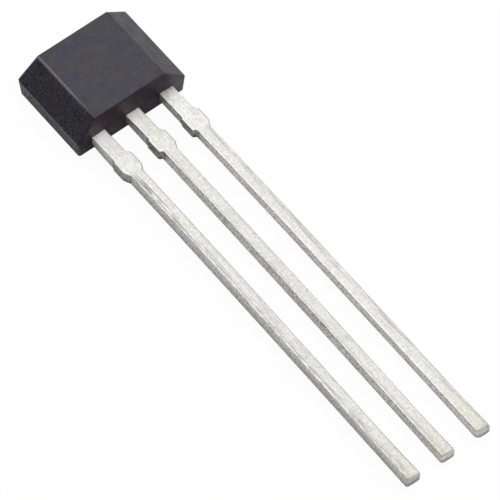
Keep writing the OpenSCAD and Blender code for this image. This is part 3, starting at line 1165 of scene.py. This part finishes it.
def case_radius(edge):
    """The radius of an edge of the case, from where it lies and which way it runs."""
    a, b = (v.co for v in edge.verts)
    if abs(a.z - b.z) > SAME:
        return CORNER_EDGE
    along_side = abs(a.y - b.y) > abs(a.x - b.x)
    if abs(a.z - parting) < SAME:
        return PARTING_EDGE if along_side else 0.0
    return SIDE_EDGE if along_side else END_EDGE


weigh_edges(bm, case_radius)
case_block = carrier_of(bm, "case_block")
print(case_block.name, "has", len(case_block.data.edges), "edges to round")

# %% [markdown]
# ### Marks of the mould
# Two small marks are left by the mould. An ejector pin pushes the part out and leaves a shallow round
# mark in the back face, and the runner is broken off at the far end, which leaves the gate's stub.

# %% Marks of the mould
EJECTOR_D = 1.0 * MM
EJECTOR_DEPTH = 0.04 * MM
EJECTOR_Y = 0.7 * MM
EJECTOR_SIDES = 48
GATE_WIDTH = 0.8 * MM
GATE_HEIGHT = 0.16 * MM
GATE_STUB = 0.03 * MM
SUNK = 0.1 * MM  # how deep the stub's block reaches into the case

bm = bmesh.new()
bmesh.ops.create_cone(
    bm,
    cap_ends=True,
    segments=EJECTOR_SIDES,
    radius1=EJECTOR_D / 2,
    radius2=EJECTOR_D / 2,
    depth=2 * EJECTOR_DEPTH,
)
bmesh.ops.translate(bm, verts=bm.verts, vec=(0, EJECTOR_Y, 0))
pin = carrier_of(bm, "ejector_pin")

sheet_back, sheet_front = (corner.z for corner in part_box("supply_lead"))
far_end = case_high.y - GATE_STUB
bm = bmesh.new()
bmesh.ops.create_cube(bm, size=1.0)
bmesh.ops.scale(bm, verts=bm.verts, vec=(GATE_WIDTH, SUNK + GATE_STUB, GATE_HEIGHT))
middle_of_gate = (0, far_end + (GATE_STUB - SUNK) / 2, sheet_back - GATE_HEIGHT / 2)
bmesh.ops.translate(bm, verts=bm.verts, vec=middle_of_gate)
gate = carrier_of(bm, "gate_stub")

case_mesh = finished_mesh(case_block, "epoxy_case", [(pin, "DIFFERENCE"), (gate, "UNION")])
new_piece("epoxy_case", case_mesh, epoxy, "moulded_case")
print("case faces", len(case_mesh.polygons))
print("far end at y", round(max(v.co.y for v in case_mesh.vertices) / MM, 3), "mm")

# %% [markdown]
# ## The leads
# Inside the case each lead is a bonding post or the die's paddle, and there the CAD form stays as it
# is. Outside, the lead is a bar whose width changes at the dam bar. Its outline is read from the CAD
# model as four lines, left, right, front and back, and a rounded cross-section is then drawn along
# them. That gives long edges with clean light on them, which loose triangles can't. The two shoulders
# of a dam-bar step aren't alike: the right one starts nearer the case, and the left one is a short
# step. So the places of their points along the lead are moved a little.

# %% Measure the outline of a lead
ROOT = case_low.y + 0.15 * MM  # the drawn lead starts here, just inside the case
MERGE = 0.0005 * MM  # points that are nearer than this are one point
SHOULDER = case_low.y - 1.1 * MM  # where the leads widen to the dam bar
SHOULDER_REACH = 0.2 * MM  # how far its points lie to both sides of that place
SHOULDER_SHIFT = 0.08 * MM  # how much nearer the case the right shoulder starts
SHOULDER_STEP = 0.4  # how long the left shoulder is, as a share of the CAD model's
LEAD_NODES = ("supply_lead", "ground_lead", "output_lead")


def line_through(points, across, pick):
    """One line of an outline as two arrays, y and its value there: the min or max, as pick says."""
    found = {}
    for co in points:
        step = round(co.y / MERGE)
        found[step] = pick(found.get(step, across(co)), across(co))
    steps = sorted(found)
    return numpy.array(steps) * MERGE, numpy.array([found[step] for step in steps])


def outline_of(mesh):
    """The outline of a lead outside the case: its left and right in x, its front and back in z."""
    outside = [v.co for v in mesh.vertices if v.co.y < ROOT]
    middle = (min(co.x for co in outside) + max(co.x for co in outside)) / 2
    level = (min(co.z for co in outside) + max(co.z for co in outside)) / 2
    return {
        "left": line_through([co for co in outside if co.x < middle], lambda co: co.x, min),
        "right": line_through([co for co in outside if co.x > middle], lambda co: co.x, max),
        "front": line_through([co for co in outside if co.z > level], lambda co: co.z, max),
        "back": line_through([co for co in outside if co.z < level], lambda co: co.z, min),
    }


def at(outline, side, y):
    """Where a side of the outline is at y."""
    return float(numpy.interp(y, *outline[side]))


outlines = {name: outline_of(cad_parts[name].data) for name in LEAD_NODES}
for name, outline in outlines.items():
    places = outline["right"][0]
    places[abs(places - SHOULDER) < SHOULDER_REACH] += SHOULDER_SHIFT
    places = outline["left"][0]
    near = abs(places - SHOULDER) < SHOULDER_REACH
    places[near] = SHOULDER + SHOULDER_STEP * (places[near] - SHOULDER)
    print(name, "ends at y", round(places[0] / MM, 3), "mm")
    print("points of its four lines:", [len(outline[side][0]) for side in outline])

# %% [markdown]
# ### The cross-section
# The punch rolls the edge that it enters and leaves the opposite one crisp, with a small burr on the
# supply lead, and the tin softens both. Each corner of the cross-section is a quarter of an ellipse,
# given by how wide it is across the lead and how deep it goes into it. Near the tips all corners grow
# round, and the solder swells them. No lead is quite straight: each has a slight bow and a twist. The
# trimming die has scored three fine lines along the left of the supply lead.

# %% Cross-section of a lead
SMOOTH = 5  # steps round a corner
TIP_ZONE = 2.2 * MM  # from the tip, where the corners start to grow round
TIP_CORNER = (0.12, 0.04)  # mm, how wide and how deep a corner is at the tip
TIP_SWELL = 0.045 * MM
BACK_ROUNDING = 0.35  # how much the back of a tip is rounded, as a share of its front
CORNER_LIMIT = 0.45  # the most of the lead's width or thickness that a corner takes
SETTLE = 0.7 * MM  # the twist of a lead is complete this far from the case
LEAST_TWIST = 0.65  # the share of the twist at both ends of the lead; its middle has twice that
SCORED_LEAD = "supply_lead"
SCORE_WIDTH = 0.024 * MM  # to both sides of its middle
SCORE_DEPTH = 0.012 * MM

# The corners are (wide, deep) in mm. The bow, the burr and the rounding of the tip are in mm as well,
# and the twist is in degrees.
LEADS = {
    "supply_lead": {
        "left": (0.04, 0.03),
        "right": (0.05, 0.06),
        "back": (0.04, 0.05),
        "bow": 0.035,
        "twist": 8,
        "burr": 0.02,
        "tip": 0.15,
    },
    "ground_lead": {
        "left": (0.05, 0.02),
        "right": (0.05, 0.06),
        "back": (0.05, 0.06),
        "bow": 0.035,
        "twist": 8,
        "burr": 0.0,
        "tip": 0.15,
    },
    "output_lead": {
        "left": (0.05, 0.02),
        "right": (0.05, 0.06),
        "back": (0.06, 0.06),
        "bow": 0.032,
        "twist": 2.5,
        "burr": 0.0,
        "tip": 0.19,
    },
}

# For each score its distance from the lead's left side in mm, places along y in mm, and how strong
# the score is there.
SCORES = {
    0.065: ([-6.5, -5.8, -3.6, -3.4], [0.0, 1.2, 2.2, 0.0]),
    0.115: ([-15.0, -13.0, -9.0, -7.5, -5.5, -3.6, -3.4], [0.0, 0.8, 1.0, 1.3, 1.5, 2.2, 0.0]),
    0.165: ([-8.5, -7.5, -5.3, -4.9, -3.6, -3.4], [0.0, 0.9, 0.0, 1.4, 2.2, 0.0]),
}


def score_at(score, y):
    """How strong a score is at y. Past 1 it gets no deeper, only darker by painted shade."""
    return float(numpy.interp(y / MM, *SCORES[score]))


def corner(at_x, at_z, into, size):
    """A rounded corner of a cross-section, from its face of the sheet round to its side."""
    wide, deep = size[0] * MM, size[1] * MM
    turns = [math.radians(90 * step / SMOOTH) for step in range(SMOOTH + 1)]
    return [
        (at_x + into[0] * wide * (1 - math.sin(turn)), at_z + into[1] * deep * (1 - math.cos(turn)))
        for turn in turns
    ]


def cross_section(name, y):
    """The points round lead name at y: its four corners, and the scores in its front face."""
    outline, look = outlines[name], LEADS[name]
    left, right, front, back = (at(outline, side, y) for side in ("left", "right", "front", "back"))
    tip = outline["left"][0][0]
    radius = look["tip"] * MM
    short = max(0.0, radius - (y - tip))
    drop = radius - math.sqrt(radius**2 - short**2)
    front, back = min(front, sheet_front - drop), max(back, sheet_back + BACK_ROUNDING * drop)
    near_tip = max(0.0, 1 - (y - tip) / TIP_ZONE) ** 2
    settled = min(1.0, max(0.0, case_low.y - y) / SETTLE)
    left -= look["burr"] * MM * settled
    right += TIP_SWELL * near_tip
    limits = (CORNER_LIMIT * (right - left) / MM, CORNER_LIMIT * (front - back) / MM)
    sizes = {}
    for side in ("left", "right", "back"):
        grown = [own + (tipped - own) * near_tip for own, tipped in zip(look[side], TIP_CORNER)]
        sizes[side] = [min(size, limit) for size, limit in zip(grown, limits)]
    points = corner(left, front, (1, -1), sizes["left"])
    points += corner(left, back, (1, 1), sizes["back"])[::-1]
    points += corner(right, back, (-1, 1), sizes["back"])
    points += corner(right, front, (-1, -1), sizes["right"])[::-1]
    for score in sorted(SCORES, reverse=True) if name == SCORED_LEAD else ():
        x = left + (score + sizes["left"][0] - look["left"][0]) * MM
        depth = SCORE_DEPTH * min(1.0, score_at(score, y))
        points += [(x + SCORE_WIDTH, front), (x, front - depth), (x - SCORE_WIDTH, front)]
    run = max(0.0, case_low.y - y) / (case_low.y - tip)
    bow = look["bow"] * MM * math.sin(math.pi * run)
    share = LEAST_TWIST + LEAST_TWIST * math.sin(math.pi * run) ** 2
    twist = math.radians(look["twist"]) * settled * share
    cos, sin = math.cos(twist), math.sin(twist)
    cx, cz = (left + right) / 2, (front + back) / 2
    ring = []
    for x, z in points:
        dx, dz = x - cx, z - cz
        ring.append(Vector((cx + dx * cos + dz * sin + bow, y, cz + dz * cos - dx * sin)))
    return ring


print("points round the supply lead:", len(cross_section(SCORED_LEAD, 2 * case_low.y)))

# %% [markdown]
# ### Rings along the lead
# The cross-section is drawn wherever the outline turns, at close steps round the tip, and now and then
# along the straight shank, where the bow needs it. Each ring of points is joined to the next with
# four-sided faces, the tip is closed by one face, and bridge_loops joins the first ring to the CAD
# form, which is cut open just inside the case.

# %% Draw the leads
SPACING = 0.6 * MM  # between the rings of the shank
CLOSEST = 0.004 * MM  # between any two rings
TIP_STEP = 15  # degrees, from ring to ring round the tip
COPLANAR = math.radians(0.5)  # triangles that turn less than this are one flat face


def stations_of(name):
    """The places along Y where the lead turns, and some along the straight shank, root first."""
    turns = [y for line, _ in outlines[name].values() for y in line if y < ROOT - CLOSEST]
    tip = min(turns)
    radius = LEADS[name]["tip"] * MM
    turned = [math.radians(turn) for turn in range(TIP_STEP, 91, TIP_STEP)]
    rounding = [tip + radius * (1 - math.cos(turn)) for turn in turned]
    shank = numpy.arange(tip + SPACING, ROOT, SPACING)
    stations = []
    for y in sorted([*turns, *rounding, *shank]):
        if not stations or y - stations[-1] > CLOSEST:
            stations.append(float(y))
    return stations[::-1]


def drawn_lead(name):
    """A copy of the CAD lead's inside, cut at the root, with its outside drawn on along the outline."""
    bm = bmesh.new()
    bm.from_mesh(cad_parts[name].data)
    bmesh.ops.remove_doubles(bm, verts=bm.verts, dist=MERGE)
    bmesh.ops.dissolve_limit(bm, angle_limit=COPLANAR, verts=bm.verts, edges=bm.edges)
    bmesh.ops.bisect_plane(
        bm,
        geom=bm.verts[:] + bm.edges[:] + bm.faces[:],
        dist=ON_PLANE,
        plane_co=(0, ROOT, 0),
        plane_no=(0, 1, 0),
        clear_inner=True,
    )
    cut_edges = [edge for edge in bm.edges if edge.is_boundary]
    scored = bm.verts.layers.float.new("scored")
    rings = [[bm.verts.new(co) for co in cross_section(name, y)] for y in stations_of(name)]
    # After the four corners come three points for each score, and its middle one lies deepest.
    deepest = 4 * (SMOOTH + 1) + 1
    for ring in rings:
        for score, vertex in zip(sorted(SCORES, reverse=True), ring[deepest::3]):
            vertex[scored] = score_at(score, vertex.co.y)
    for ring, following in zip(rings, rings[1:]):
        for i, vertex in enumerate(ring):
            bm.faces.new((ring[i - 1], vertex, following[i], following[i - 1]))
    bm.faces.new(rings[-1])
    root_edges = [bm.edges.get((rings[0][i - 1], vertex)) for i, vertex in enumerate(rings[0])]
    bmesh.ops.bridge_loops(bm, edges=cut_edges + root_edges)
    bmesh.ops.recalc_face_normals(bm, faces=bm.faces)
    return bm


for name in LEADS:
    bm = drawn_lead(name)
    open_edges = sum(not edge.is_manifold for edge in bm.edges)
    mesh = finished_mesh(carrier_of(bm, name + "_bar"), "tinned_" + name)
    new_piece("tinned_" + name, mesh, tin, name)
    print(mesh.name, len(mesh.polygons), "faces,", open_edges, "open edges")

# %% [markdown]
# ## Inside the case
# The chip of silicon is glued to the ground lead's paddle with epoxy full of silver flakes, and three
# gold wires join it to the leads. None of it shows from outside, but someone who cuts the case away
# in a drawing will find it, so each has its own finish on the CAD form. The polished chip carries
# blocks of circuit, which a Voronoi texture with square cells stands for.

# %% Silicon
CELL = 0.06  # mm, the blocks of circuit on the chip

silicon = blank_material("silicon_chip")
tree = silicon.node_tree
place = add(tree, "ShaderNodeTexCoord")
mm = add(
    tree,
    "ShaderNodeVectorMath",
    {"operation": "SCALE", "Scale": 1 / MM},
    {0: place.outputs["Object"]},
)
cells = add(
    tree,
    "ShaderNodeTexVoronoi",
    {"distance": "CHEBYCHEV", "Scale": 1 / CELL},
    {"Vector": mm.outputs[0]},
)
circuit = add(
    tree,
    "ShaderNodeMix",
    {"data_type": "RGBA", 6: linear("#3d4350"), 7: linear("#7b7a86")},
    {0: cells.outputs["Distance"]},
)
surface = add(
    tree,
    "ShaderNodeBsdfPrincipled",
    {"Metallic": 0.6, "Roughness": 0.22},
    {"Base Color": circuit.outputs[2]},
)
add(tree, "ShaderNodeOutputMaterial", links={"Surface": surface.outputs[0]})
print("made", silicon.name)

# %% [markdown]
# ### Silver adhesive
# The adhesive was dispensed as a paste and cured. It is dull, and its flakes show as small cells of
# lighter and darker grey.

# %% Silver adhesive
FLAKE = 0.02  # mm

silver_glue = blank_material("silver_adhesive")
tree = silver_glue.node_tree
place = add(tree, "ShaderNodeTexCoord")
mm = add(
    tree,
    "ShaderNodeVectorMath",
    {"operation": "SCALE", "Scale": 1 / MM},
    {0: place.outputs["Object"]},
)
flakes = add(tree, "ShaderNodeTexVoronoi", {"Scale": 1 / FLAKE}, {"Vector": mm.outputs[0]})
flaked = add(
    tree,
    "ShaderNodeMix",
    {"data_type": "RGBA", 6: linear("#c9c7c2"), 7: linear("#8f8d88")},
    {0: flakes.outputs["Distance"]},
)
surface = add(
    tree,
    "ShaderNodeBsdfPrincipled",
    {"Metallic": 0.7, "Roughness": 0.5},
    {"Base Color": flaked.outputs[2]},
)
add(tree, "ShaderNodeOutputMaterial", links={"Surface": surface.outputs[0]})
print("made", silver_glue.name)

# %% [markdown]
# ### Gold wire
# The wire was drawn through a die, which leaves it bright, with fine marks that make some places a
# little duller and paler than others.

# %% Gold wire
DRAWING_MARK = 0.01  # mm, the marks that the die leaves on the wire

gold = blank_material("drawn_gold_wire")
tree = gold.node_tree
place = add(tree, "ShaderNodeTexCoord")
mm = add(
    tree,
    "ShaderNodeVectorMath",
    {"operation": "SCALE", "Scale": 1 / MM},
    {0: place.outputs["Object"]},
)
drawn = add(
    tree,
    "ShaderNodeTexNoise",
    {"Scale": 1 / DRAWING_MARK, "Detail": 2.0},
    {"Vector": mm.outputs[0]},
)
worked = add(
    tree,
    "ShaderNodeMapRange",
    {"To Min": 0.16, "To Max": 0.32},
    {"Value": drawn.outputs["Fac"]},
)
yellow = add(
    tree,
    "ShaderNodeMix",
    {"data_type": "RGBA", 6: linear("#e2b04e"), 7: linear("#f2cb74")},
    {0: drawn.outputs["Fac"]},
)
surface = add(
    tree,
    "ShaderNodeBsdfPrincipled",
    {"Metallic": 1.0},
    {"Base Color": yellow.outputs[2], "Roughness": worked.outputs[0]},
)
add(tree, "ShaderNodeOutputMaterial", links={"Surface": surface.outputs[0]})
print("made", gold.name)

# %% [markdown]
# ### Dressing the pieces inside
# The CAD form of these pieces is fine enough as it is, so each keeps its mesh, and only its material
# is changed.

# %% Dress the pieces inside
INSIDE = {
    "die_attach": silver_glue,
    "sensor_die": silicon,
    "supply_bond_wire": gold,
    "ground_bond_wire": gold,
    "output_bond_wire": gold,
}
for name, material in INSIDE.items():
    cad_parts[name].data.materials[0] = material
    print(name, "is", material.name)
